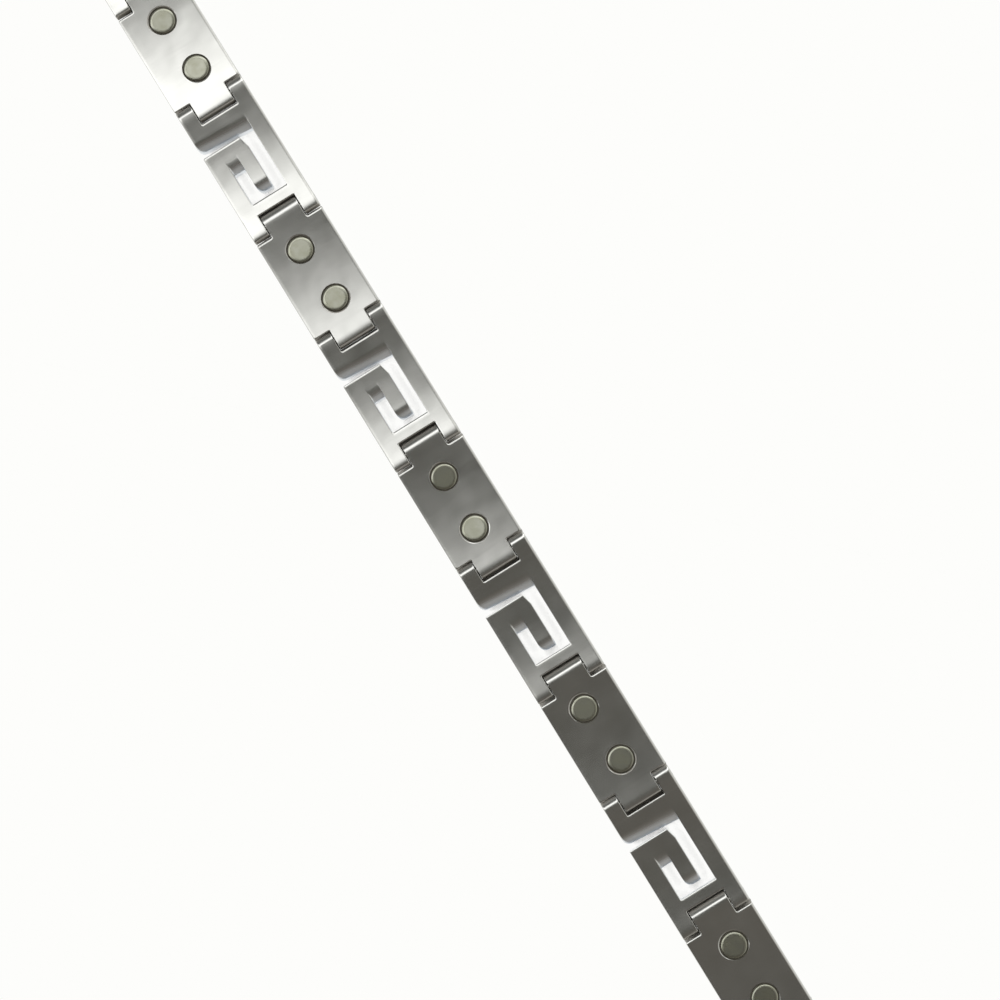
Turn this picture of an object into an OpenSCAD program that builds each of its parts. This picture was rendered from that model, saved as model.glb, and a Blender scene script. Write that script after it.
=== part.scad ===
// Magnetic link bracelet of stainless steel, opened and laid out straight, wrist side up.
// X runs along the strip, Y across it and Z up from the surface that it lies on.
// Solid links with two magnets each take turns with links pierced by a Greek key.

/* [Strip] */
// Width of the links
link_w = 10.4; // [9:0.1:13]
// Thickness of the links at their hinges
link_t = 2.8; // [2.5:0.1:3.4]
// Number of solid links; a pierced link stands before, between and after them
solid_count = 5; // [2:1:5]
// Length of a solid link from pin to pin
solid_pitch = 18.4; // [17.2:0.2:24]
// Length of a pierced link from pin to pin
key_pitch = 18.4; // [17.6:0.2:24]
// Dip of the wrist side in the middle of each link
back_dip = 0.25; // [0.1:0.05:0.4]
// Rounding of the long edges
edge_r = 0.5; // [0.2:0.05:0.8]

/* [Hinges] */
// Width of the tongue in the middle of each hinge
tongue_w = 5.5; // [4:0.25:6]
// Play between a tongue and each ear of its fork
tongue_play = 0.15; // [0.05:0.05:0.3]
// Play between a rounded end and the link that it turns against
end_play = 0.45; // [0.2:0.05:0.6]
// Diameter of the hinge pins
pin_d = 1; // [0.8:0.1:1.2]
// Play of the pins and the catch bar in their bores, across the diameter
pin_play = 0.1; // [0.05:0.01:0.2]
// Depth of the pin ends below the sides of the links
pin_inset = 0.15; // [0.05:0.05:0.5]

/* [Greek key] */
// Width of the rails along both edges
rail_w = 2.45; // [1.6:0.05:2.6]
// Width of the slots that run along the link
slot_w = 1.7; // [1.2:0.05:2.1]
// Width of the bands that close the pattern at both ends
band_w = 1.7; // [1.2:0.1:2.2]
// Width at the back of the slot that comes in from the edge
entry_w = 2.5; // [2.1:0.1:3]
// Width of the post that carries the finger
post_w = 1.8; // [1.2:0.1:2.2]
// Width at the back of the gap beyond the tip of the finger
tip_gap = 2.6; // [2.1:0.1:3.2]
// Lean of the slot walls that face +X, from the back of the link to its front
wall_lean = 1.55; // [0.4:0.05:1.8]
// Rounding of the leaning corners at the finger's tip and at the mouth of the entry slot
corner_r = 0.9; // [0.3:0.1:0.9]
// Length of the slope at the outer corner of the post
slope_l = 1.6; // [0.5:0.1:1.8]
// Depth of the slope at the outer corner of the post
slope_w = 0.4; // [0.1:0.1:0.6]

/* [Magnets] */
// Diameter of the magnets
magnet_d = 3.35; // [2.5:0.05:4]
// Height of the magnets
magnet_h = 1.5; // [0.8:0.1:1.8]
// Distance between the two magnets of a link
magnet_spacing = 8.1; // [5:0.1:9]
// Width of the groove left around a magnet
magnet_groove = 0.2; // [0.1:0.05:0.3]
// Height of the magnets over the wrist side of the link
magnet_proud = 0.05; // [0:0.05:0.2]
// Thickness of the glue under a magnet
glue_t = 0.05; // [0.02:0.01:0.1]
// Bevel around the top of a magnet and around the mouth of its hole
rim = 0.12; // [0.05:0.01:0.25]
// Distance of a magnet from the centre line where a pair is set out of line
magnet_stagger = 0.28; // [0:0.02:0.5]

/* [Clasp] */
// Length of the clasp from its pin to the middle of its hook
clasp_pitch = 16; // [13:0.5:24]
// Diameter of the bar that the hook catches
bar_d = 1.2; // [1:0.1:1.4]
// Width of the mouth through which the bar snaps into the hook
hook_mouth = 1; // [0.8:0.05:1.2]

/* [Hidden] */
// Which pairs of magnets are set out of line, from the first solid link to the last
out_of_line = [1, 1, 0, 1, 0];

link_count = 2 * solid_count + 1;
knuckle_r = link_t / 2;
// From a pin to the wall that faces the rounded end turning on it
pin_to_wall = knuckle_r + end_play;
fork_gap = tongue_w + 2 * tongue_play;
finger_w = link_w - 2 * rail_w - 2 * slot_w;
strip_l = (solid_count + 1) * key_pitch + solid_count * solid_pitch;
// The whole length, hook included, is centred on the origin
first_pin_x = (clasp_pitch - strip_l) / 2;

// How far a cut runs past the surface that it opens
over = 1;
// How far a corner cut runs past the corner that it rounds
corner_over = 0.1;
round_fn = 64;
sweep_fn = 900;

steel = [0.62, 0.62, 0.6];
nickel = [0.7, 0.71, 0.63];

// Place of a pin along the strip: 0 holds the clasp, link_count is the catch bar
function pin_x(i) = first_pin_x + ceil(i / 2) * key_pitch + floor(i / 2) * solid_pitch;

function key_x(i) = (pin_x(2 * i - 2) + pin_x(2 * i - 1)) / 2;

function solid_x(i) = (pin_x(2 * i - 1) + pin_x(2 * i)) / 2;

// Radius of the hollow back that leaves a link at full thickness over its pins
function back_r(pitch) = (pitch * pitch / 4 + back_dip * back_dip) / (2 * back_dip);

// Height of the back of a solid link at a distance from its middle
function back_z(x) =
    link_t - back_dip + back_r(solid_pitch) - sqrt(pow(back_r(solid_pitch), 2) - x * x);

magnet_top = back_z(magnet_spacing / 2) + magnet_proud;
magnet_z = magnet_top - magnet_h;

// Where magnets number 1 and 2 of a solid link stand, seen from its middle
function magnet_place(link, which) =
    let (side = 2 * which - 3)
    [side * magnet_spacing / 2, side * magnet_stagger * out_of_line[link - 1]];

// Section of a strip that stands on the X axis with its two lower corners rounded
module strip_section(width, height) {
    translate([-width / 2 + edge_r, 0])
        square([width - 2 * edge_r, height]);
    translate([-width / 2, edge_r])
        square([width, height - edge_r]);
    for (side = [-1, 1])
        translate([side * (width / 2 - edge_r), edge_r])
            circle(r = edge_r, $fn = round_fn);
}

// Outline of a link from the side, with both ends rounded about their pins
module side_outline(pitch) {
    translate([-pitch / 2, 0])
        square([pitch, link_t]);
    for (side = [-1, 1])
        translate([side * pitch / 2, knuckle_r])
            circle(r = knuckle_r, $fn = round_fn);
}

// Everything under the hollow wrist side, whose long edges are rounded along the curve
module under_back(pitch) {
    half_angle = asin((pitch / 2 + link_t) / back_r(pitch));
    translate([0, 0, link_t - back_dip + back_r(pitch)])
        rotate([90, 0, 0])
            rotate([0, 0, -90 - half_angle])
                rotate_extrude(angle = 2 * half_angle, $fn = sweep_fn)
                    translate([back_r(pitch), 0])
                        rotate(-90)
                            strip_section(link_w, link_t + over);
}

// A link before its ends, bores and pattern are cut
module link_blank(pitch) {
    intersection() {
        rotate([90, 0, 90])
            linear_extrude(height = pitch + link_t, center = true)
                strip_section(link_w, link_t + over);
        rotate([90, 0, 0])
            linear_extrude(height = link_w, center = true)
                side_outline(pitch);
        under_back(pitch);
    }
}

// What turning takes up at one end, seen from the side: straight down to the pin's
// height, then hollowed about the pin, so that nothing shows through a hinge
module turning_room(pitch, side) {
    translate([side * pitch / 2, knuckle_r]) {
        circle(r = pin_to_wall, $fn = round_fn);
        translate([min(0, side * (knuckle_r + over)), -knuckle_r - over])
            square([knuckle_r + over, link_t + 2 * over]);
        translate([min(-side * pin_to_wall, side * (knuckle_r + over)), 0])
            square([pin_to_wall + knuckle_r + over, knuckle_r + over]);
    }
}

// Removes both sides of one end, so that a tongue is left; side is -1 or 1
module tongue_cut(pitch, side) {
    for (edge = [-1, 1])
        translate([0, edge * (tongue_w + link_w) / 2, 0])
            rotate([90, 0, 0])
                linear_extrude(height = link_w, center = true)
                    turning_room(pitch, side);
}

// Removes the middle of one end, so that a fork of two ears is left
module fork_cut(pitch, side) {
    rotate([90, 0, 0])
        linear_extrude(height = fork_gap, center = true)
            turning_room(pitch, side);
}

// A bore across the strip, at the middle of the thickness
module cross_bore(x, diameter) {
    translate([x, 0, knuckle_r])
        rotate([90, 0, 0])
            cylinder(h = link_w + 2 * over, d = diameter, center = true, $fn = round_fn);
}

// A slot whose wall at the low X end leans in towards the front of the link
module leaning_slot(x0, x1, y0, y1) {
    lean_over = wall_lean * over / link_t;
    translate([0, y1, 0])
        rotate([90, 0, 0])
            linear_extrude(height = y1 - y0)
                polygon([
                    [x0 - lean_over, link_t + over],
                    [x1, link_t + over],
                    [x1, -over],
                    [x0 + wall_lean + lean_over, -over]
                ]);
}

// Rounds a corner that points to +X and -Y
module corner_cut(x, y) {
    translate([x - corner_r, y + corner_r, -over])
        linear_extrude(height = link_t + 2 * over)
            difference() {
                translate([0, -corner_r - corner_over])
                    square(corner_r + corner_over);
                circle(r = corner_r, $fn = round_fn);
            }
}

// The Greek key of a pierced link: in from one edge, along, back round the finger
module key_pattern() {
    body_l = key_pitch - 2 * pin_to_wall;
    band_x = band_w - body_l / 2;
    post_x = band_x + entry_w;
    inner_x = post_x + post_w;
    far_x = body_l / 2 - band_w;
    tip_x = far_x - tip_gap;
    rail_y = link_w / 2 - rail_w;
    leaning_slot(band_x, post_x, -link_w / 2 - over, rail_y);
    leaning_slot(band_x, far_x, finger_w / 2, rail_y);
    leaning_slot(tip_x, far_x, -rail_y, rail_y);
    leaning_slot(inner_x, far_x, -rail_y, -finger_w / 2);
    corner_cut(tip_x + wall_lean, -finger_w / 2);
    corner_cut(band_x + wall_lean, -link_w / 2);
    translate([post_x, finger_w / 2, -over])
        linear_extrude(height = link_t + 2 * over)
            polygon([
                [-corner_over, corner_over],
                [slope_l, corner_over],
                [slope_l, 0],
                [0, -slope_w],
                [-corner_over, -slope_w]
            ]);
}

// Pierced link with a fork at both ends; the last one holds the catch bar in its outer fork
module key_link(i) {
    outer_d = i == solid_count + 1 ? bar_d : pin_d;
    color(steel)
        translate([key_x(i), 0, 0])
            difference() {
                link_blank(key_pitch);
                fork_cut(key_pitch, -1);
                fork_cut(key_pitch, 1);
                cross_bore(-key_pitch / 2, pin_d + pin_play);
                cross_bore(key_pitch / 2, outer_d + pin_play);
                key_pattern();
            }
}

// Solid link with a tongue at both ends and a blind hole for each magnet
module solid_link(i) {
    hole_d = magnet_d + 2 * magnet_groove;
    color(steel)
        translate([solid_x(i), 0, 0])
            difference() {
                link_blank(solid_pitch);
                tongue_cut(solid_pitch, -1);
                tongue_cut(solid_pitch, 1);
                cross_bore(-solid_pitch / 2, pin_d + pin_play);
                cross_bore(solid_pitch / 2, pin_d + pin_play);
                for (which = [1, 2])
                    translate(magnet_place(i, which)) {
                        translate([0, 0, magnet_z - glue_t])
                            cylinder(h = link_t, d = hole_d, $fn = round_fn);
                        translate([0, 0, magnet_top - magnet_proud - rim])
                            cylinder(h = link_t, d1 = hole_d, d2 = hole_d + 2 * link_t, $fn = round_fn);
                    }
            }
}

// Round magnet with a bevelled rim; two stand in each solid link
module magnet(i) {
    link = ceil(i / 2);
    translate([solid_x(link), 0, 0])
        translate(magnet_place(link, i - 2 * link + 2))
            color(nickel) {
                translate([0, 0, magnet_z])
                    cylinder(h = magnet_h - rim, d = magnet_d, $fn = round_fn);
                translate([0, 0, magnet_top - rim])
                    cylinder(h = rim, d1 = magnet_d, d2 = magnet_d - 2 * rim, $fn = round_fn);
            }
}

// Pin across the strip, a little shorter than the links are wide
module cross_pin(x, diameter) {
    color(steel)
        translate([x, 0, knuckle_r])
            rotate([90, 0, 0])
                cylinder(h = link_w - 2 * pin_inset, d = diameter, center = true, $fn = round_fn);
}

// Plain clasp: a plate with a pinned tongue at one end and an open hook at the other
module clasp() {
    color(steel)
        translate([pin_x(0) - clasp_pitch / 2, 0, 0])
            difference() {
                link_blank(clasp_pitch);
                tongue_cut(clasp_pitch, -1);
                tongue_cut(clasp_pitch, 1);
                cross_bore(clasp_pitch / 2, pin_d + pin_play);
                cross_bore(-clasp_pitch / 2, bar_d + pin_play);
                translate([-(clasp_pitch + hook_mouth) / 2, -link_w / 2, knuckle_r])
                    cube([hook_mouth, link_w, link_t]);
            }
}

clasp();
cross_pin(pin_x(0), pin_d);  // clasp_pin
cross_pin(pin_x(link_count), bar_d);  // catch_bar
for (i = [1 : solid_count + 1])
    key_link(i);
for (i = [1 : solid_count])
    solid_link(i);
for (i = [1 : link_count - 1])
    cross_pin(pin_x(i), pin_d);
for (i = [1 : 2 * solid_count])
    magnet(i);
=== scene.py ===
# Magnetic link bracelet of satin stainless steel, opened and laid out with its wrist side up
# The frame is in metres: X along the strip, Y across it, Z up from the floor
import math

import bmesh
import bpy
from mathutils import Matrix, Vector


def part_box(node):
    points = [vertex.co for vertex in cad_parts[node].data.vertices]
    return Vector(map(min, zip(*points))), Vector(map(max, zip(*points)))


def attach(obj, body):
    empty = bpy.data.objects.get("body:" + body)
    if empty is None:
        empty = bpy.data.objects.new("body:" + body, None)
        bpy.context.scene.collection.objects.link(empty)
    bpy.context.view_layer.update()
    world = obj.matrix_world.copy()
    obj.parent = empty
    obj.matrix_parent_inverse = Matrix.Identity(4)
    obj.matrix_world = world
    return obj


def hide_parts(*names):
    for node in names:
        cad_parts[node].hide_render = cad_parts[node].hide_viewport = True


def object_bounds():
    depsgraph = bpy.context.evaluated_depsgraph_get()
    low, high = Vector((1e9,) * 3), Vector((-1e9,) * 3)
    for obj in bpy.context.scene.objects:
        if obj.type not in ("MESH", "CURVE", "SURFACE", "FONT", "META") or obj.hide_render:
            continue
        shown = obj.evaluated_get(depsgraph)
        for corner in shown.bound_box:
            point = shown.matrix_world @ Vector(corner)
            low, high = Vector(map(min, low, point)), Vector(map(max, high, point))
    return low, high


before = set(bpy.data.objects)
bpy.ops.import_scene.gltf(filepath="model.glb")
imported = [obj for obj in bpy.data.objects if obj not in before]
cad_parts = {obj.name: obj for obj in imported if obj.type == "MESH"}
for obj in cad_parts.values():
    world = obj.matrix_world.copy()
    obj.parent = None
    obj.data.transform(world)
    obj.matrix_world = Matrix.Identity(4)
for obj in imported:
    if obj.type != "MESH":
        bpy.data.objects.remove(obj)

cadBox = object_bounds()
mm = 0.001  # sizes in the dictionaries are in millimetres


def placeObject(name, data):
    made = bpy.data.objects.new(name, data)
    bpy.context.scene.collection.objects.link(made)
    return made


photoView = {
    "eye": (51.07, 11.09, 447.41),
    "aim": (10.84, 4.83, 2.8),
    "lens": 119.23,
    "sensor": 36,
    "clip": (0.01, 20),  # metres
    "stripAngle": 58.35,  # degrees by which the strip runs down the picture
}


def makeCamera(view):
    data = bpy.data.cameras.new("photoCamera")
    data.sensor_width = view["sensor"]
    data.lens = view["lens"]
    data.clip_start, data.clip_end = view["clip"]
    camera = placeObject("photoCamera", data)
    eye = Vector(view["eye"]) * mm
    back = (eye - Vector(view["aim"]) * mm).normalized()
    turn = math.radians(view["stripAngle"])
    right = Vector((-math.sin(turn), math.cos(turn), 0)).cross(back).normalized()
    axes = Matrix((right, back.cross(right), back)).transposed()
    camera.matrix_world = Matrix.Translation(eye) @ axes.to_4x4()
    bpy.context.scene.camera = camera


makeCamera(photoView)
print("camera set")


def hexColour(code, strength=1):  # sRGB hex to linear
    parts = [int(code[i:i + 2], 16) / 255 for i in (1, 3, 5)]
    return [strength * (p / 12.92 if p <= 0.04045 else ((p + 0.055) / 1.055) ** 2.4)
            for p in parts] + [1]


def addNode(tree, kind, settings={}, inputs={}):
    node = tree.nodes.new(kind)
    for name, value in settings.items():
        setattr(node, name, value)
    for name, value in inputs.items():
        if isinstance(value, bpy.types.NodeSocket):
            tree.links.new(value, node.inputs[name])
        else:
            node.inputs[name].default_value = value
    return node


def scaled(tree, value, factor, added=0.0, clamped=False):  # value * factor + added
    settings = {"operation": "MULTIPLY_ADD", "use_clamp": clamped}
    return addNode(tree, "ShaderNodeMath", settings, {0: value, 1: factor, 2: added}).outputs[0]


def emptyTree(owner):
    owner.use_nodes = True
    owner.node_tree.nodes.clear()
    return owner.node_tree


def fillRamp(node, stops):
    ramp = node.color_ramp
    while len(ramp.elements) < len(stops):
        ramp.elements.new(1)
    for element, (place, colour) in zip(ramp.elements, stops):
        element.position = place
        element.color = colour


# Studio: a pale floor and a light tent that is bright beyond the -X end and along the +Y side
studio = {
    "floorSize": 3000,
    "floorColour": "#fdfdfb",
    "floorGain": 12,  # the floor's glow is the ambient occlusion times this, clamped, so that only deep gaps show painted shade
    "shadeReach": 8,
    "shadeSamples": 8,
    "gap": 0.1,  # floor under the CAD box, as the leaning links dip a little
    "skew": 1.0,  # turn of the tent's bright side towards -Y, close to straight up
    "skewReach": 0.06,  # share of the way to both sides in which it turns
    "ends": [  # share of the way to -X, colour, strength
        (-1.0, "#a8a49e", 1.0),
        (-0.5, "#7f7b75", 1.0),
        (-0.15, "#6e6a64", 1.0),
        (-0.05, "#6b6863", 1.0),
        (0.05, "#686762", 1.0),
        (0.09, "#5d5c58", 1.0),
        (0.11, "#656562", 1.0),
        (0.135, "#757572", 1.0),
        (0.16, "#898986", 1.0),
        (0.185, "#9c9c99", 1.0),
        (0.21, "#bcbcb9", 1.0),
        (0.235, "#e9e9e6", 1.0),
        (0.26, "#ffffff", 1.3),
        (0.29, "#ffffff", 2.1),
        (0.45, "#ffffff", 2.1),
        (0.5, "#ffffff", 1.2),
        (0.58, "#90908e", 1.0),
        (0.7, "#70706e", 1.0),
        (1.0, "#82827f", 1.0),
    ],
    "sides": [  # share of the way to +Y, colour, strength
        (-1.0, "#000000", 0.0),
        (0.1, "#000000", 0.0),
        (0.4, "#b4b4b2", 1.0),
        (0.75, "#d6d6d4", 1.0),
        (1.0, "#f0f0ee", 1.0),
    ],
}


def lightRamp(tree, share, stops):
    brightest = max(strength for _, _, strength in stops)
    place = addNode(tree, "ShaderNodeMapRange", {}, {"Value": share, "From Min": -1.0, "From Max": 1.0})
    ramp = addNode(tree, "ShaderNodeValToRGB", {}, {"Fac": place.outputs["Result"]})
    fillRamp(ramp, [((at + 1) / 2, hexColour(colour, strength / brightest))
                    for at, colour, strength in stops])
    return addNode(tree, "ShaderNodeBackground", {}, {
        "Color": ramp.outputs["Color"], "Strength": brightest})


def makeTent(look):
    scene = bpy.context.scene
    scene.view_settings.view_transform = "Standard"
    scene.view_settings.look = "None"
    scene.world = bpy.data.worlds.new("lightTent")
    tree = emptyTree(scene.world)
    coords = addNode(tree, "ShaderNodeTexCoord")
    axes = addNode(tree, "ShaderNodeSeparateXYZ", {}, {"Vector": coords.outputs["Generated"]})
    near = addNode(tree, "ShaderNodeClamp", {}, {
        "Value": axes.outputs["Y"], "Min": -look["skewReach"], "Max": look["skewReach"]})
    skewed = scaled(tree, near.outputs[0], look["skew"], axes.outputs["X"])
    ends = lightRamp(tree, scaled(tree, skewed, -1.0), look["ends"])
    sides = lightRamp(tree, axes.outputs["Y"], look["sides"])
    tent = addNode(tree, "ShaderNodeAddShader", {}, {0: ends.outputs[0], 1: sides.outputs[0]})
    plain = addNode(tree, "ShaderNodeBackground", {}, {"Color": hexColour(look["floorColour"])})
    path = addNode(tree, "ShaderNodeLightPath")
    mix = addNode(tree, "ShaderNodeMixShader", {}, {
        0: path.outputs["Is Camera Ray"], 1: tent.outputs[0], 2: plain.outputs[0]})
    addNode(tree, "ShaderNodeOutputWorld", {}, {"Surface": mix.outputs[0]})


def makeFloor(look):
    material = bpy.data.materials.new("white floor glow with painted shade")
    tree = emptyTree(material)
    # The floor glows; its glow, darkened by ambient occlusion, is painted shade in the gaps and under the
    # links
    sky = addNode(tree, "ShaderNodeAmbientOcclusion", {"samples": look["shadeSamples"]}, {
        "Distance": look["shadeReach"] * mm})
    paper = addNode(tree, "ShaderNodeEmission", {}, {
        "Color": hexColour(look["floorColour"]),
        "Strength": scaled(tree, sky.outputs["AO"], look["floorGain"], clamped=True)})
    addNode(tree, "ShaderNodeOutputMaterial", {}, {"Surface": paper.outputs[0]})
    reach = look["floorSize"] / 2 * mm
    level = cadBox[0].z - look["gap"] * mm
    mesh = bpy.data.meshes.new("floor")
    mesh.from_pydata([(x * reach, y * reach, level) for x, y in ((-1, -1), (1, -1), (1, 1), (-1, 1))],
                     [], [(0, 1, 2, 3)])
    mesh.materials.append(material)
    floor = placeObject("floor", mesh)


makeTent(studio)
makeFloor(studio)
print("studio lit")


# What the frame gives, in millimetres
def middle(node):
    low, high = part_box(node)
    return (low + high) / 2 / mm


def size(node):
    low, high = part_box(node)
    return (high - low) / mm


def nodesNamed(start):  # in their order along the strip
    found = [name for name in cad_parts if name.startswith(start)]
    return sorted(found, key=lambda name: middle(name).x)


solidNodes = nodesNamed("solid_link_")
keyNodes = nodesNamed("key_link_")
magnetNodes = nodesNamed("magnet_")
pinNodes = nodesNamed("hinge_pin_")
solidPitch = middle(pinNodes[1]).x - middle(pinNodes[0]).x
keyPitch = middle(pinNodes[2]).x - middle(pinNodes[1]).x

link = {
    "width": size(keyNodes[0]).y,
    "thick": size(keyNodes[0]).z,
    "pinToWall": 1.85,  # from a pin to the wall that faces the rounded end turning on it
    "tongue": 5.5,
    "forkGap": 5.8,
    "bore": 1.1,
    "boreOver": 2,  # how far a bore's cutter stands out at both sides
    "boreSides": 48,
    "dip": 0.25,  # of the wrist side in the middle of a solid link
    "keyDip": 0.33,
    "longEdge": 0.3,  # rounding of the long edges
    "longBreak": 0.02,  # what is broken off them besides
    "broken": 0.1,  # what tumbling took off all other edges
    "softEdge": 0.3,  # width of the softer edges that face -X
    "softDepth": 0.045,
    "crispEdge": 0.14,  # width of the edges that face +X
    "corner": 0.14,  # rounding of the corners, seen from above
    "tongueCorner": 0.25,  # the same at the foot of a tongue at the -X end
    "endPowers": (3.0, 14),  # of the rounded ends at -X and +X, where 2 would be a circle about the pin
    "endDrop": 0.033,  # how the +X ends fall, times the cube of the way past the pin
    "lowWall": -0.06,  # reach of the walls at the -X end over the rounded end that turns there
    "highWall": 0.4,  # the same at the +X end of a solid link
    "forkWall": 0.2,  # and of a key link
    "shoulder": 0.8,  # depth of the rounded shoulders in the slots, over upright walls
    "unmarkedSide": 0.05,  # along the long edges, where no painted shade, painted light or cast roughness is put
    "unshadedDepth": 0.12,  # under the wrist side, where no painted shade is put
    "unshadedEnd": 1.15,  # from a pin to where the painted shade on the rounded ends begins
    "hingeShadeStart": 0.2,  # from the walls at the hinges to where painted shade can begin
    "hingeShadeDepth": 0.3,  # in which it grows to its full tone downwards
    "hingeShadeFade": 0.2,  # and along the strip
    "castDepth": 0.3,  # under the wrist side, where the slots' walls get fully rough and fully paler with painted light
    "arcSteps": 4,  # in the rounding of a corner
    "edgeAngles": range(0, 91, 15),  # degrees round a broken edge, with a ring of vertices at each
    "wallShares": (0.05, 0.075, 0.11, 0.15, 0.19, 0.233, 0.3, 0.4, 0.6, 0.8),  # of the thickness
    "stepLength": 0.46,  # of the strips that the faces are cut in
    "endAngles": range(9, 90, 9),  # degrees about a pin, with a cut through the rounded end at each
    "longAngles": (0, 15, 30, 45, 58, 70, 80),  # degrees round a long edge, likewise
    "longGuard": 0.08,  # to one more cut, which keeps that rounding out of the flats' shading
    "slotCutsX": (-0.35, 0.15),  # cuts beside the corners of the slots, for the same reason
    "slotCutsY": (-0.15, 0.15),
    "snap": 0.0004,  # cuts this near a vertex go through it
    "weld": 0.002,  # vertices this near become one
    "sliver": 0.0005,  # edges this short are dissolved
    "solidTilts": [-0.1, 0.0, 0.4, 0.0, -0.5],  # degrees that each link leans to -X on its pins
    "keyTilts": [0.0, -0.4, 0.5, 0.0, -0.5, 0.0],
}
half = link["thick"] / 2
alongX = Vector((1, 0, 0))
alongY = Vector((0, 1, 0))
facing = 0.999  # cosine from which a side counts as facing an axis
hair = 0.001


# One corner of an outline: its place, its rounding at the back and at the front, and how its wall runs
# down: in a slot by the lean to +X of a rounded shoulder and the power with which that falls, at a hinge
# by the reach over the rounded end that turns there
def corner(x, y, back=link["corner"], front=None, wall=(0.0, 2.0), over=None):
    lean, power = wall
    return {"at": Vector((x, y)), "back": back, "front": back if front is None else front,
            "lean": lean, "power": power, "over": over}


def shiftAt(c, depth):  # of a corner at a depth, along X
    if c["over"] is None:
        return c["lean"] * min(depth / link["shoulder"], 1) ** (1 / c["power"])
    rise = half - depth
    hollow = link["pinToWall"] - math.sqrt(link["pinToWall"] ** 2 - rise * rise)
    if rise > 0:
        hollow = min(hollow, c["over"]) if c["over"] > 0 else c["over"] * min(rise, 1)
    return math.copysign(1, c["at"].x) * hollow


def edgeOut(width, depth):  # how far a broken edge stands back at a depth
    rise = 1 - min(depth / link["broken"], 1)
    crisp = 1 - math.sqrt(max(1 - rise * rise, 0))
    soft = 1 - math.sqrt(min(depth / link["softDepth"], 1))
    share = min(max((width - link["crispEdge"]) / (link["softEdge"] - link["crispEdge"]), 0), 1)
    return width * (crisp + (soft - crisp) * share)


def edgeBreak(a, b, end):  # width of the broken edge from a to b, in an outline that ends at +-end
    along = (b - a).normalized()
    outward = Vector((along.y, -along.x))
    if abs(outward.y) > facing and abs(abs(a.y) - link["width"] / 2) < hair:
        return link["longBreak"]
    if abs(outward.x) > facing and abs(a.x) > end - hair:
        return 0.0  # the rounded ends have no edge
    if outward.x < -facing:
        return link["softEdge"]
    return link["crispEdge"] if outward.x > facing else link["broken"]


# The outline at one depth: points with the way in and the width of their broken edge
def outlineAt(corners, depth):
    count = len(corners)
    end = max(c["at"].x for c in corners)
    places = [c["at"] + Vector((shiftAt(c, depth), 0)) for c in corners]
    widths = [0.0 if c["lean"] and corners[(i + 1) % count]["lean"]
              else edgeBreak(places[i], places[(i + 1) % count], end) for i, c in enumerate(corners)]
    ring = []
    for i, c in enumerate(corners):
        here = places[i]
        into = (here - places[i - 1]).normalized()
        out = (places[(i + 1) % count] - here).normalized()
        bend = into.angle(out)
        side = 1 if into.x * out.y - into.y * out.x > 0 else -1  # 1 at a convex corner
        share = depth / (link["shoulder"] if c["lean"] else link["thick"])
        radius = c["back"] + (c["front"] - c["back"]) * min(share, 1)
        reach = radius * math.tan(bend / 2)
        first = Vector((-into.y, into.x))
        centre = here - into * reach + first * radius * side
        for step in range(link["arcSteps"] + 1):
            t = step / link["arcSteps"]
            angle = t * bend * side
            inward = Vector((first.x * math.cos(angle) - first.y * math.sin(angle),
                             first.x * math.sin(angle) + first.y * math.cos(angle)))
            width = widths[i - 1] + (widths[i] - widths[i - 1]) * t * t * (3 - 2 * t)
            ring.append((centre - inward * radius * side, inward, width))
    return ring


# Half thickness over or under the middle, for a pitch from pin to pin
def halfThick(pitch, dip, x, y, over):
    beyond = abs(x) - pitch / 2
    if beyond > 0:
        power = link["endPowers"][x > 0] if over else 2
        rise = 4 * dip / pitch * beyond - link["endDrop"] * beyond ** 3 if over and x > 0 else 0
        height = (half + rise) * max(1 - (beyond / half) ** power, 0) ** (1 / power)
    elif over:
        bow = (pitch * pitch / 4 + dip * dip) / (2 * dip)  # radius of the hollow wrist side
        height = half - dip + bow - math.sqrt(bow * bow - x * x)
    else:
        height = half
    past = max(abs(y) - link["width"] / 2 + link["longEdge"], 0)
    drop = link["longEdge"] - math.sqrt(max(link["longEdge"] ** 2 - past * past, 0))
    return height * (1 - drop / half)


# How much painted shade a place gets, deep in the hinges, and how rough and how much paler with painted
# light, on the slots' walls that are left as cast
def shadeAndCastAt(pitch, place, depth):
    if abs(place.y) > link["width"] / 2 - link["unmarkedSide"]:
        return 0.0, 0.0
    if abs(place.x) > pitch / 2 - link["pinToWall"] - link["hingeShadeStart"]:
        deep = (link["thick"] - place.z - link["unshadedDepth"]) / link["hingeShadeDepth"]
        ends = (abs(place.x) - pitch / 2 - link["unshadedEnd"]) / link["hingeShadeFade"]
        return min(max(deep, ends, 0), 1), 0.0
    return 0.0, min(depth / link["castDepth"], (link["thick"] - depth) / link["broken"], 1)


def joinRings(bm, low, high):  # a band of faces; rings that are one point give triangles
    for i in range(len(low)):
        j = (i + 1) % len(low)
        loop = list(dict.fromkeys((low[i], low[j], high[j], high[i])))
        if len(loop) > 2:
            bm.faces.new(loop)


def meshObject(name, bm):
    bmesh.ops.recalc_face_normals(bm, faces=bm.faces)
    bmesh.ops.scale(bm, vec=(mm, mm, mm), verts=bm.verts)
    mesh = bpy.data.meshes.new(name)
    bm.to_mesh(mesh)
    bm.free()
    return placeObject(name, mesh)


def ringDepths():
    edges = [link["broken"] * (1 - math.cos(math.radians(angle))) for angle in link["edgeAngles"]]
    walls = [link["thick"] * share for share in link["wallShares"]]
    return edges + walls + [link["thick"] - depth for depth in reversed(edges)]


def cutAcross(bm, normal, places):
    for place in places:
        bmesh.ops.bisect_plane(bm, geom=bm.verts[:] + bm.edges[:] + bm.faces[:], dist=link["snap"],
                               plane_co=normal * place, plane_no=normal)


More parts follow.
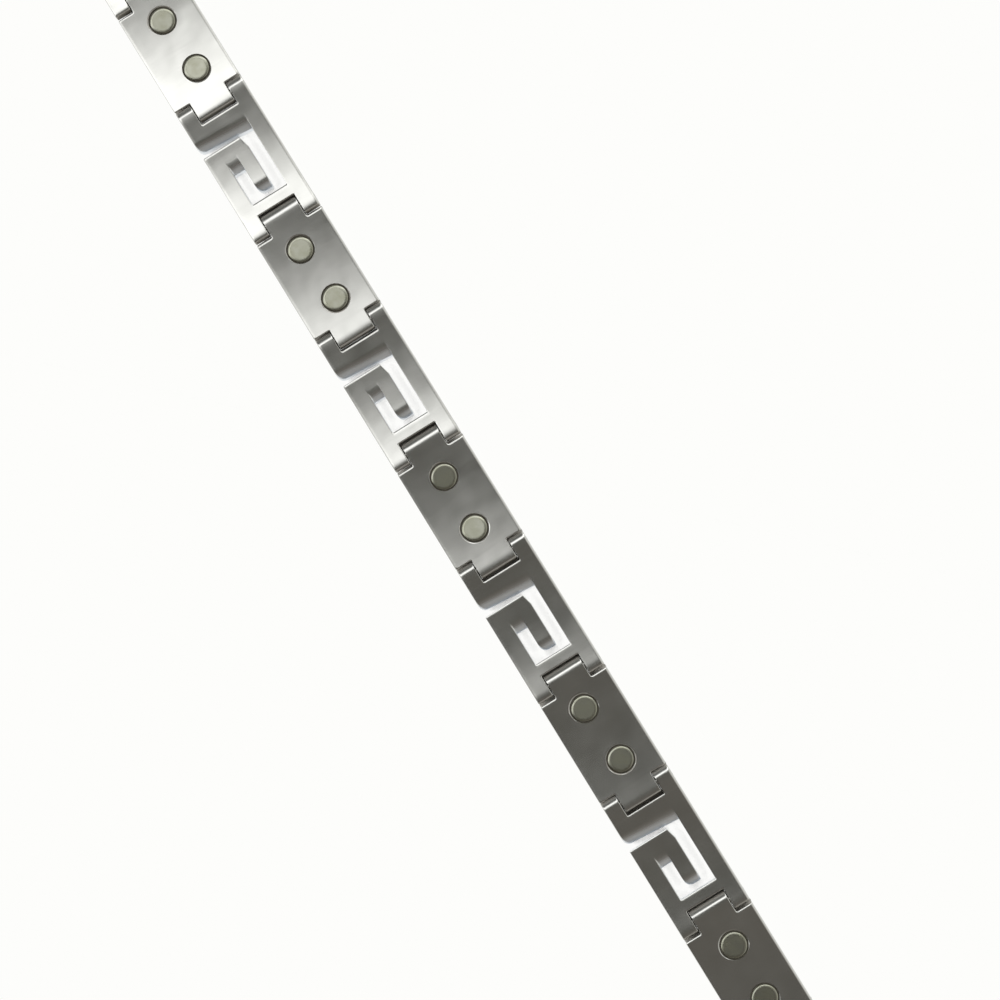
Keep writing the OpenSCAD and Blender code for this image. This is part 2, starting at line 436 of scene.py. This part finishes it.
def cutStrips(bm, corners, pitch):  # so that the faces can be bent
    steps = round(pitch / link["stepLength"])
    cutAcross(bm, alongX, [pitch * (i / steps - 0.5) for i in range(steps + 1)])
    cutAcross(bm, alongX, [side * (pitch / 2 + half * math.sin(math.radians(angle)))
                           for side in (-1, 1) for angle in link["endAngles"]])
    if any(c["lean"] for c in corners):
        slot = [c["at"] for c in corners if abs(c["at"].x) < pitch / 2]
        cutAcross(bm, alongX, sorted({round(at.x + step, 3)
                                      for at in slot for step in link["slotCutsX"]}))
        cutAcross(bm, alongY, sorted({round(at.y + step, 3) for at in slot for step in link["slotCutsY"]
                                      if abs(at.y) < link["width"] / 2 - hair}))
    inner = link["width"] / 2 - link["longEdge"]
    cutAcross(bm, alongY, [side * (inner - link["longGuard"]) for side in (-1, 1)])
    cutAcross(bm, alongY, [side * (inner + link["longEdge"] * math.sin(math.radians(angle)))
                           for side in (-1, 1) for angle in link["longAngles"]])


# A link's body from its outline: broken edges, hollow wrist side, ends rounded about the pins
def makeLink(name, corners, pitch, dip):
    thick = link["thick"]
    bm = bmesh.new()
    rings = []
    for depth in ringDepths():
        points = [at + inward * edgeOut(width, min(depth, thick - depth))
                  for at, inward, width in outlineAt(corners, depth)]
        rings.append([bm.verts.new((p.x, p.y, thick - depth)) for p in points])
    for upper, lower in zip(rings, rings[1:]):
        joinRings(bm, lower, upper)
    bm.faces.new(rings[0])
    bm.faces.new(list(reversed(rings[-1])))
    cutStrips(bm, corners, pitch)
    # masks for painted shade deep in the hinges, and for the slots' walls' roughness with painted light
    hingeShade = bm.verts.layers.float.new("hingeShade")
    castAndLit = bm.verts.layers.float.new("castAndLit")
    for vert in bm.verts:
        depth = thick - vert.co.z
        share = (vert.co.z - half) / half
        vert.co.z = half + share * halfThick(pitch, dip, vert.co.x, vert.co.y, share > 0)
        vert[hingeShade], vert[castAndLit] = shadeAndCastAt(pitch, vert.co, depth)
    bmesh.ops.remove_doubles(bm, verts=bm.verts, dist=link["weld"])
    bmesh.ops.dissolve_degenerate(bm, edges=bm.edges, dist=link["sliver"])
    return meshObject(name, bm)


# Turned body: a profile of (radius, height) about Z, or about Y for what lies across the strip
def makeTurned(name, profile, sides, across=False):
    turns = [2 * math.pi * i / sides for i in range(sides)]
    bm = bmesh.new()
    rings = []
    for radius, height in profile:
        if radius == 0:
            rings.append([bm.verts.new((0, 0, height))] * sides)
        else:
            rings.append([bm.verts.new((radius * math.cos(turn), radius * math.sin(turn), height))
                          for turn in turns])
    for low, high in zip(rings, rings[1:]):
        joinRings(bm, low, high)
    if across:
        quarter = Matrix.Rotation(math.pi / 2, 3, "X")
        bmesh.ops.rotate(bm, cent=(0, 0, 0), matrix=quarter, verts=bm.verts)
    return meshObject(name, bm)


def plainMesh(made):  # applies its modifiers
    bpy.context.view_layer.update()
    shown = made.evaluated_get(bpy.context.evaluated_depsgraph_get())
    mesh = bpy.data.meshes.new_from_object(shown)
    made.modifiers.clear()
    made.data = mesh


def cutWith(made, cutters):  # exact cuts, made into a plain mesh
    for cutter in cutters:
        cut = made.modifiers.new("cut", "BOOLEAN")
        cut.operation = "DIFFERENCE"
        cut.solver = "EXACT"
        cut.object = cutter
    plainMesh(made)
    discard(*cutters)


def discard(*spares):
    for spare in spares:
        bpy.data.objects.remove(spare)


def crossBore(x, diameter):
    radius = diameter / 2
    end = (link["width"] + 2 * link["boreOver"]) / 2
    profile = [(0, -end), (radius, -end), (radius, end), (0, end)]
    cutter = makeTurned("bore", profile, link["boreSides"], across=True)
    cutter.location = Vector((x, 0, half)) * mm
    return cutter


greekKey = {
    "rail": 2.45,  # along both edges
    "slot": 1.7,
    "band": 1.7,  # what closes the pattern at the -X end
    "farBand": 1.5,
    "entry": 2.5,
    "post": 1.8,
    "tipGap": 2.6,
    "mouthWall": (1.6, 2.0),  # lean and power of the walls that face +X: of the entry at the edge
    "bandWall": (2.25, 3.0),
    "postWall": (2.3, 3.5),
    "tipWall": (1.7, 2.5),
    "softCorner": 0.9,  # front rounding of the finger's tip and of the entry's mouth
    "mouthCorner": 0.3,  # back rounding of the mouth
    "tipCorner": 0.25,  # and of the tip
    "fingerCorner": 0.2,  # rounding of the tip's other corner
    "slopeLength": 1.6,
    "slopeDepth": 0.4,
}


def keyCorners(key, pitch):
    edge = link["width"] / 2
    end = pitch / 2 + half
    wall = pitch / 2 - link["pinToWall"]
    fork = link["forkGap"] / 2
    rail = edge - key["rail"]
    finger = rail - key["slot"]
    band = key["band"] - wall
    post = band + key["entry"]
    inner = post + key["post"]
    far = wall - key["farBand"]
    tip = far - key["tipGap"]
    soft = key["softCorner"]
    low = link["lowWall"]
    high = link["forkWall"]
    return [
        corner(-end, -edge), corner(band, -edge, key["mouthCorner"], soft, key["mouthWall"]),
        corner(band, rail, wall=key["bandWall"]), corner(far, rail), corner(far, -rail),
        corner(inner, -rail, wall=key["postWall"]), corner(inner, -finger, wall=key["postWall"]),
        corner(tip, -finger, key["tipCorner"], soft, key["tipWall"]),
        corner(tip, finger, key["fingerCorner"], wall=key["tipWall"]),
        corner(post + key["slopeLength"], finger), corner(post, finger - key["slopeDepth"]),
        corner(post, -edge), corner(end, -edge), corner(end, -fork),
        corner(wall, -fork, over=high), corner(wall, fork, over=high),
        corner(end, fork), corner(end, edge), corner(-end, edge), corner(-end, fork),
        corner(-wall, fork, over=low), corner(-wall, -fork, over=low), corner(-end, -fork),
    ]


def tongueCorners(pitch):  # a plate with a tongue at both ends
    edge = link["width"] / 2
    end = pitch / 2 + half
    wall = pitch / 2 - link["pinToWall"]
    tongue = link["tongue"] / 2
    foot = link["tongueCorner"]
    low = link["lowWall"]
    high = link["highWall"]
    return [
        corner(-end, -tongue), corner(-wall, -tongue, foot, over=low), corner(-wall, -edge, over=low),
        corner(wall, -edge, over=high), corner(wall, -tongue, over=high), corner(end, -tongue),
        corner(end, tongue), corner(wall, tongue, over=high), corner(wall, edge, over=high),
        corner(-wall, edge, over=low), corner(-wall, tongue, foot, over=low), corner(-end, tongue),
    ]


def boredLink(name, corners, pitch, dip):
    made = makeLink(name, corners, pitch, dip)
    cutWith(made, [crossBore(side * pitch / 2, link["bore"]) for side in (-1, 1)])
    return made


keyMaster = boredLink("keyMaster", keyCorners(greekKey, keyPitch), keyPitch, link["keyDip"])
solidMaster = boredLink("solidMaster", tongueCorners(solidPitch), solidPitch, link["dip"])
print("links cut", len(keyMaster.data.polygons), len(solidMaster.data.polygons))

# Heights are from a magnet's top
magnet = {
    "diameter": size(magnetNodes[0]).x + 0.1,  # with its plating
    "height": size(magnetNodes[0]).z,
    "rimWidth": 0.38,  # of the rounding at the plated rim
    "rimDrop": 0.08,
    "rimAngles": range(0, 91, 10),  # degrees round it, with a ring at each
    "faceShares": (0, 0.4, 0.8),  # of the radius, likewise on the face
    "sides": 96,
    "surface": -0.05,  # of the steel around it
    "groove": 0.22,  # between magnet and steel
    "glue": 0.05,  # under the magnet
    "floorEdge": 0.1,  # slope around the floor of a hole
    "lip": 0.12,  # rounding around the mouth of a hole
    "lipAngles": range(15, 90, 15),
    "flareWidth": 0.05,  # of the shallow flare outside the lip
    "flareRise": 0.012,
    "cutterOut": 0.2,  # from the lip to the rim of the cutter's top
    "cutterTop": 1.0,
    "glueDown": 0.35,  # to the glue around it
    "glueThick": 0.3,
    "glueHollow": 0.08,  # of the glue's face
    "glueOverlap": 0.02,  # into magnet and steel
    "glueSteps": 6,
    "glueSides": 72,
    "turns": [-0.7, 1.1, 1.4, 2.1, -1.1, 3.9, 1.3, 1.5, 1.7, 1.2],  # degrees that each leans to -X
    "shifts": [(-0.07, 0.3), (-0.09, 0.3), (0.2, -0.07), (0.28, -0.03), (0.18, 0.04),
               (0.16, -0.1), (-0.1, 0.0), (0.1, 0.05), (0.3, 0.15), (0.2, 0.0)],  # they were set one by one
}


def magnetMaster(look):
    radius = look["diameter"] / 2
    wide = look["rimWidth"]
    rim = []
    for angle in look["rimAngles"]:
        a = math.radians(angle)
        rim.append((radius - wide + wide * math.sin(a), look["rimDrop"] * (math.cos(a) - 1)))
    low = [(r, -look["height"] - z) for r, z in reversed(rim)]
    face = [(radius * share, 0) for share in look["faceShares"]]
    profile = face + rim + low + [(0, -look["height"])]
    return makeTurned("magnetMaster", list(reversed(profile)), look["sides"])


def holeCutter(look):
    radius = look["diameter"] / 2 + look["groove"]
    lip = look["lip"]
    floor = -look["height"] - look["glue"]
    foot = look["surface"] - lip
    profile = [(0, floor), (radius - look["floorEdge"], floor), (radius, floor + look["floorEdge"]),
               (radius, foot)]
    for angle in look["lipAngles"]:
        a = math.radians(angle)
        profile.append((radius + lip - lip * math.cos(a), foot + lip * math.sin(a)))
    profile += [(radius + lip + look["flareWidth"], look["surface"] + look["flareRise"]),
                (radius + lip + look["cutterOut"], look["cutterTop"]), (0, look["cutterTop"])]
    return makeTurned("holeCutter", profile, look["sides"])


# What squeezed out around a magnet, with a hollow face
def glueMaster(look):
    inner = look["diameter"] / 2 - look["glueOverlap"]
    outer = look["diameter"] / 2 + look["groove"] + look["glueOverlap"]
    low = -look["glueThick"]
    face = []
    for step in range(look["glueSteps"] + 1):
        t = step / look["glueSteps"]
        face.append((inner + (outer - inner) * t, look["glueHollow"] * (2 * t - 1) ** 2))
    profile = [(inner, low)] + face + [(outer, low), (inner, low)]
    return makeTurned("glueMaster", profile, look["glueSides"])


magnetPart = magnetMaster(magnet)
glueRing = glueMaster(magnet)
holeCut = holeCutter(magnet)
print("magnet made")


# Points that parts stand on: a vertex each, with the turn of its part
def seatPoints(name, places, turns=None):
    mesh = bpy.data.meshes.new(name)
    mesh.from_pydata([p * mm for p in places], [], [])
    attribute = mesh.attributes.new("turn", "FLOAT_VECTOR", "POINT")
    for item, turn in zip(attribute.data, turns or [0] * len(places)):
        item.vector = (0, -math.radians(turn), 0)
    return placeObject(name, mesh)


def newTree(name, wanted):  # with a mesh in and out, and further inputs
    tree = bpy.data.node_groups.new(name, "GeometryNodeTree")
    tree.interface.new_socket("Geometry", in_out="OUTPUT", socket_type="NodeSocketGeometry")
    tree.interface.new_socket("Geometry", in_out="INPUT", socket_type="NodeSocketGeometry")
    for inputName, kind in wanted:
        tree.interface.new_socket(inputName, in_out="INPUT", socket_type=kind)
    return tree, addNode(tree, "NodeGroupInput").outputs


def shapeOf(tree, source):
    return addNode(tree, "GeometryNodeObjectInfo", {}, {"Object": source}).outputs["Geometry"]


def instancesOn(tree, points, part, turned=True):
    inputs = {"Points": points, "Instance": shapeOf(tree, part)}
    if turned:
        turn = addNode(tree, "GeometryNodeInputNamedAttribute", {"data_type": "FLOAT_VECTOR"}, {
            "Name": "turn"})
        rotation = addNode(tree, "FunctionNodeEulerToRotation", {}, {0: turn.outputs[0]})
        inputs["Rotation"] = rotation.outputs[0]
    return addNode(tree, "GeometryNodeInstanceOnPoints", {}, inputs).outputs[0]


def realized(tree, geometry):
    return addNode(tree, "GeometryNodeRealizeInstances", {}, {"Geometry": geometry}).outputs[0]


def closeTree(tree, geometry, material):
    finish = addNode(tree, "GeometryNodeSetMaterial", {}, {
        "Geometry": realized(tree, geometry), "Material": material})
    addNode(tree, "NodeGroupOutput", {}, {"Geometry": finish.outputs[0]})
    return tree


# Geometry nodes: one part on every point, turned as the point says and sunk by Sink
def partsOnPoints():
    tree, given = newTree("partsOnPoints", [
        ("Part", "NodeSocketObject"), ("Sink", "NodeSocketFloat"), ("Finish", "NodeSocketMaterial")])
    offset = addNode(tree, "ShaderNodeCombineXYZ", {}, {"Z": scaled(tree, given["Sink"], -1.0)})
    sunk = addNode(tree, "GeometryNodeSetPosition", {}, {
        "Geometry": given["Geometry"], "Offset": offset.outputs[0]})
    return closeTree(tree, instancesOn(tree, sunk.outputs[0], given["Part"]), given["Finish"])


# Geometry nodes: a link on every point, turned as the point says, and a hole at every point of Seats
def linkRow():
    tree, given = newTree("linkRow", [
        ("Link", "NodeSocketObject"), ("Cutter", "NodeSocketObject"),
        ("Seats", "NodeSocketObject"), ("Finish", "NodeSocketMaterial")])
    links = instancesOn(tree, given["Geometry"], given["Link"])
    holes = instancesOn(tree, shapeOf(tree, given["Seats"]), given["Cutter"], turned=False)
    cut = addNode(tree, "GeometryNodeMeshBoolean", {"operation": "DIFFERENCE", "solver": "EXACT"}, {
        "Mesh 1": realized(tree, links), "Mesh 2": realized(tree, holes)})
    return closeTree(tree, cut.outputs[0], given["Finish"])


# Runs a tree on an object, makes the result a plain mesh and dresses it as a piece
def growPiece(made, tree, values, nodes):
    modifier = made.modifiers.new(tree.name, "NODES")
    modifier.node_group = tree
    for item in tree.interface.items_tree:
        if item.item_type == "SOCKET" and item.in_out == "INPUT" and item.name in values:
            modifier[item.identifier] = values[item.name]
    plainMesh(made)
    finishPiece(made, nodes)


sharpAngle = 38  # degrees; edges that turn less are shaded smooth


def finishPiece(made, nodes):
    made.data.shade_smooth()
    made.data.set_sharp_from_angle(angle=math.radians(sharpAngle))
    weighted = made.modifiers.new("weighted", "WEIGHTED_NORMAL")
    weighted.keep_sharp = True
    plainMesh(made)
    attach(made, "root")
    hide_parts(*nodes)


# Depths of all materials are in micrometres
# Satin stainless steel, brushed and then tumbled: soft grey mirror, with painted shade deep in the hinges
# and painted light on the slots' walls
satinSteel = {
    "name": "satin stainless steel",
    "colour": "#c6c6c2",
    "roughness": 0.17,
    "grain": 0.05,  # change of roughness from line to line
    "smudge": 0.1,  # and from patch to patch
    "brushPitch": 0.22,  # real lines are 0.03 mm apart, too fine to show
    "brushLength": 5.0,
    "brushDepth": 0.12,
    "wavePitch": 3.6,  # of the slow waves that hand polishing leaves
    "waveDetail": 1.0,
    "waveDepth": 18.0,
    # painted shade deep in the hinges: a duller, greyer film than the bare steel
    "hingeShadeColour": "#aeaba3",
    "hingeShadeTint": 0.9,  # how much of that colour the full painted shade has
    "hingeShadeCover": 0.7,  # share of the metal's mirror that it hides
    "hingeShadeRough": 0.25,  # what it adds to the roughness
    "castLitColour": "#e6eaee",  # of the slots' walls: a paler colour, painted light from the floor below
    "castRough": 0.2,
}

# Bright nickel over a sintered magnet: yellowish, duller than the steel, faintly stained
nickelPlating = {
    "name": "nickel plating",
    "colour": "#acada3",
    "roughness": 0.25,
    "roughSpread": 0.12,  # from stain to stain
    "peelPitch": 0.35,  # of the orange peel
    "peelDepth": 0.5,
    "stainColour": "#94947f",
    "stainPitch": 1.3,
    "stainDetail": 3.0,
}

# Drawn stainless wire: bright, with lines along it
drawnWire = {
    "name": "drawn stainless wire",
    "colour": "#b9b8b4",
    "metallic": 1.0,
    "roughness": 0.245,
    "roughSpread": 0.15,
    "pitches": (0.15, 4.0, 0.15),
    "depth": 0.2,
}

# Set epoxy around the magnets: dark, half matt and lumpy
setEpoxy = {
    "name": "set epoxy",
    "colour": "#5f5b50",
    "metallic": 0.0,
    "roughness": 0.45,
    "roughSpread": 0.3,
    "pitches": (0.4, 0.4, 0.4),
    "depth": 12.0,
}


def newMaterial(look, metallic=1.0):
    material = bpy.data.materials.new(look["name"])
    material.use_nodes = True
    tree = material.node_tree
    surface = tree.nodes["Principled BSDF"]
    surface.inputs["Base Color"].default_value = hexColour(look["colour"])
    surface.inputs["Metallic"].default_value = metallic
    return material, tree, surface, addNode(tree, "ShaderNodeTexCoord").outputs["Object"]


# Noise that repeats about every so many millimetres along each axis
def noiseAt(tree, coords, pitches, detail=2.0):
    mapping = addNode(tree, "ShaderNodeMapping", {}, {
        "Vector": coords, "Scale": [1 / (pitch * mm) for pitch in pitches]})
    noise = addNode(tree, "ShaderNodeTexNoise", {}, {
        "Vector": mapping.outputs[0], "Scale": 1.0, "Detail": detail, "Roughness": 0.5})
    return noise.outputs["Fac"]


def attributeValue(tree, name):
    return addNode(tree, "ShaderNodeAttribute", {"attribute_name": name}).outputs["Fac"]


def mixed(tree, share, first, second):
    return addNode(tree, "ShaderNodeMix", {"data_type": "RGBA"}, {
        "Factor": share, 6: first, 7: second}).outputs[2]


def bumpFrom(tree, surface, height):
    bump = addNode(tree, "ShaderNodeBump", {}, {
        "Height": height, "Strength": 1.0, "Distance": mm / 1000})
    tree.links.new(bump.outputs["Normal"], surface.inputs["Normal"])


def spreadRoughness(tree, surface, noise, look):
    least = look["roughness"] - look["roughSpread"] / 2
    tree.links.new(scaled(tree, noise, look["roughSpread"], least), surface.inputs["Roughness"])


def makeSteel(look):
    material, tree, surface, coords = newMaterial(look)
    lines = noiseAt(tree, coords, (look["brushPitch"], look["brushLength"], look["brushLength"]))
    waves = noiseAt(tree, coords, [look["wavePitch"]] * 3, look["waveDetail"])
    # painted shade deep in the hinges, and painted light that makes the slots' walls paler
    hingeShade = attributeValue(tree, "hingeShade")
    castAndLit = attributeValue(tree, "castAndLit")
    rough = scaled(tree, lines, look["grain"], look["roughness"] - (look["grain"] + look["smudge"]) / 2)
    rough = scaled(tree, waves, look["smudge"], rough)
    rough = scaled(tree, hingeShade, look["hingeShadeRough"], rough)
    rough = scaled(tree, castAndLit, look["castRough"], rough, clamped=True)
    tint = scaled(tree, hingeShade, look["hingeShadeTint"])
    colour = mixed(tree, tint, hexColour(look["colour"]), hexColour(look["hingeShadeColour"]))
    colour = mixed(tree, castAndLit, colour, hexColour(look["castLitColour"]))
    tree.links.new(rough, surface.inputs["Roughness"])
    tree.links.new(colour, surface.inputs["Base Color"])
    tree.links.new(scaled(tree, hingeShade, -look["hingeShadeCover"], 1.0), surface.inputs["Metallic"])
    height = scaled(tree, waves, look["waveDepth"])
    bumpFrom(tree, surface, scaled(tree, lines, look["brushDepth"], height))
    return material


def makeNickel(look):
    material, tree, surface, coords = newMaterial(look)
    peel = noiseAt(tree, coords, [look["peelPitch"]] * 3)
    stains = noiseAt(tree, coords, [look["stainPitch"]] * 3, look["stainDetail"])
    colour = mixed(tree, stains, hexColour(look["colour"]), hexColour(look["stainColour"]))
    tree.links.new(colour, surface.inputs["Base Color"])
    spreadRoughness(tree, surface, stains, look)
    bumpFrom(tree, surface, scaled(tree, peel, look["peelDepth"]))
    return material


def makeEven(look):  # one noise gives both roughness and height
    material, tree, surface, coords = newMaterial(look, look["metallic"])
    noise = noiseAt(tree, coords, look["pitches"])
    spreadRoughness(tree, surface, noise, look)
    bumpFrom(tree, surface, scaled(tree, noise, look["depth"]))
    return material


steel = makeSteel(satinSteel)
nickel = makeNickel(nickelPlating)
wire = makeEven(drawnWire)
epoxy = makeEven(setEpoxy)
print("materials made")


def linkPlaces(nodes):
    return [Vector((middle(name).x, 0, 0)) for name in nodes]


rowTree = linkRow()
seatTree = partsOnPoints()
noPoints = seatPoints("noSeats", [])
tops = [middle(name) + Vector((x, y, size(name).z / 2))
        for name, (x, y) in zip(magnetNodes, magnet["shifts"])]
seats = seatPoints("magnetSeats", tops, magnet["turns"])

keyRow = seatPoints("keyLinks", linkPlaces(keyNodes), link["keyTilts"])
growPiece(keyRow, rowTree, {
    "Link": keyMaster, "Cutter": holeCut, "Seats": noPoints, "Finish": steel}, keyNodes)
print("key links", len(keyRow.data.polygons))

solidRow = seatPoints("solidLinks", linkPlaces(solidNodes), link["solidTilts"])
growPiece(solidRow, rowTree, {
    "Link": solidMaster, "Cutter": holeCut, "Seats": seats, "Finish": steel}, solidNodes)
print("solid links", len(solidRow.data.polygons))

magnets = seatPoints("magnets", tops, magnet["turns"])
growPiece(magnets, seatTree, {"Part": magnetPart, "Sink": 0.0, "Finish": nickel}, magnetNodes)
glueRings = seatPoints("glueRings", tops)
growPiece(glueRings, seatTree, {
    "Part": glueRing, "Sink": magnet["glueDown"] * mm, "Finish": epoxy}, [])
discard(keyMaster, solidMaster, magnetPart, glueRing, holeCut, noPoints, seats)
print("magnets seated")

pins = {
    "sides": 40,
    "chamfer": 0.12,
    "chamferAngles": (30, 60, 90),  # degrees round it, with a ring at each
    "dome": 0.05,  # how far the ends bulge after peening
    "domeShares": (0.6, 0.3, 0),  # of the flat end's radius, likewise
}


def pinMaster(name, node, look):
    radius = size(node).x / 2
    length = size(node).y / 2
    chamfer = look["chamfer"]
    rim = length - look["dome"]
    end = [(radius, length - chamfer - look["dome"])]
    for angle in look["chamferAngles"]:
        a = math.radians(angle)
        end.append((radius - chamfer * (1 - math.cos(a)), rim - chamfer * (1 - math.sin(a))))
    end += [((radius - chamfer) * share, length - look["dome"] * share * share)
            for share in look["domeShares"]]
    return makeTurned(name, [(r, -y) for r, y in reversed(end)] + end, look["sides"], across=True)


hingeMaster = pinMaster("hingeMaster", pinNodes[0], pins)
barMaster = pinMaster("barMaster", "catch_bar", pins)
pinPlaces = ["clasp_pin"] + pinNodes
hingePins = seatPoints("hingePins", [middle(name) for name in pinPlaces])
growPiece(hingePins, seatTree, {"Part": hingeMaster, "Sink": 0.0, "Finish": wire}, pinPlaces)
catchBar = seatPoints("catchBar", [middle("catch_bar")])
growPiece(catchBar, seatTree, {"Part": barMaster, "Sink": 0.0, "Finish": wire}, ["catch_bar"])
discard(hingeMaster, barMaster)
print("pins placed")

claspPin = middle("clasp_pin").x
claspForm = {
    "pitch": claspPin - cadBox[0].x / mm - half,  # from its pin to the middle of the hook
    "hookBore": 1.3,
    "mouth": 1.0,
    "leadIn": 0.3,  # slope on both lips of the mouth
    "cutterOver": 1,  # how far its cutter stands out over the lips
}


def mouthCutter(look):  # opens the hook upwards, wider at its lips
    wide = look["mouth"] / 2
    lips = link["thick"] - look["leadIn"]
    out = wide + look["leadIn"] + look["cutterOver"]
    top = link["thick"] + look["cutterOver"]
    outline = [(-wide, half), (wide, half), (wide, lips), (out, top), (-out, top), (-wide, lips)]
    bm = bmesh.new()
    near, beyond = [[bm.verts.new((x, side * link["width"], z)) for x, z in outline]
                    for side in (-1, 1)]
    bm.faces.new(near)
    bm.faces.new(list(reversed(beyond)))
    for i in range(len(outline)):
        j = (i + 1) % len(outline)
        bm.faces.new((near[j], near[i], beyond[i], beyond[j]))
    cutter = meshObject("mouth", bm)
    cutter.location = Vector((-look["pitch"] / 2, 0, 0)) * mm
    return cutter


claspPitch = claspForm["pitch"]
clasp = makeLink("foldClasp", tongueCorners(claspPitch), claspPitch, link["dip"])
cutWith(clasp, [crossBore(claspPitch / 2, link["bore"]), crossBore(-claspPitch / 2, claspForm["hookBore"]),
                mouthCutter(claspForm)])
clasp.data.transform(Matrix.Translation(Vector((claspPin - claspPitch / 2, 0, 0)) * mm))
clasp.data.materials.append(steel)
finishPiece(clasp, ["clasp"])
print("clasp hung")
